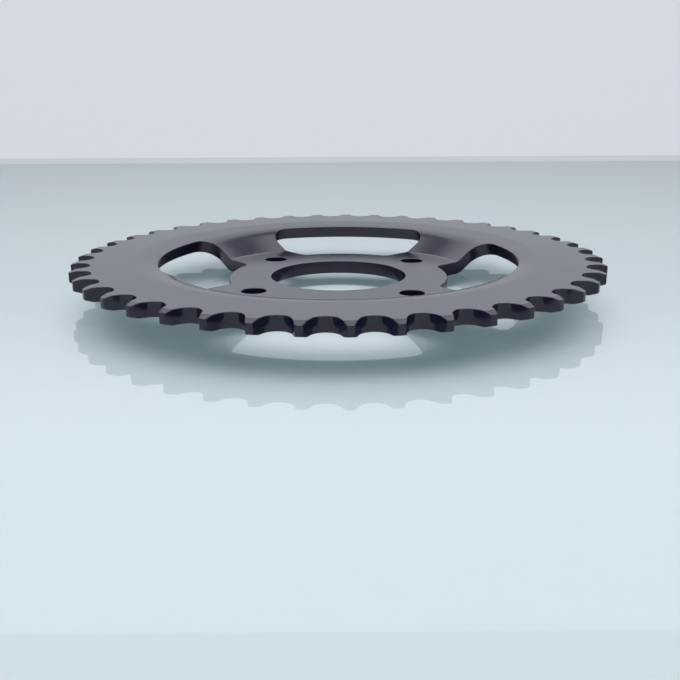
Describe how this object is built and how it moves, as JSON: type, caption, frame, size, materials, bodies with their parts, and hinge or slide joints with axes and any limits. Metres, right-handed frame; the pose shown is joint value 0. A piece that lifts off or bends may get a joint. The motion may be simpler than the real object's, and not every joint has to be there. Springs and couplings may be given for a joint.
{
  "type": "chain sprocket",
  "caption": "Dished steel chain sprocket with a centring bore, a bolting flange, open windows and a toothed rim.",
  "frame": {"origin": "on the bore's axis, in the plane of the bolting flange's underside", "axes": "+Z along the bore's axis, from the flange towards the toothed ring; one tooth and one window are centred on +X"},
  "size_m": [0.2239, 0.224, 0.0151],
  "materials": {
    "coated_steel": "satin black coat over pressed steel"
  },
  "bodies": {
    "root": {"sprocket": "coated_steel"}
  },
  "joints": []
}
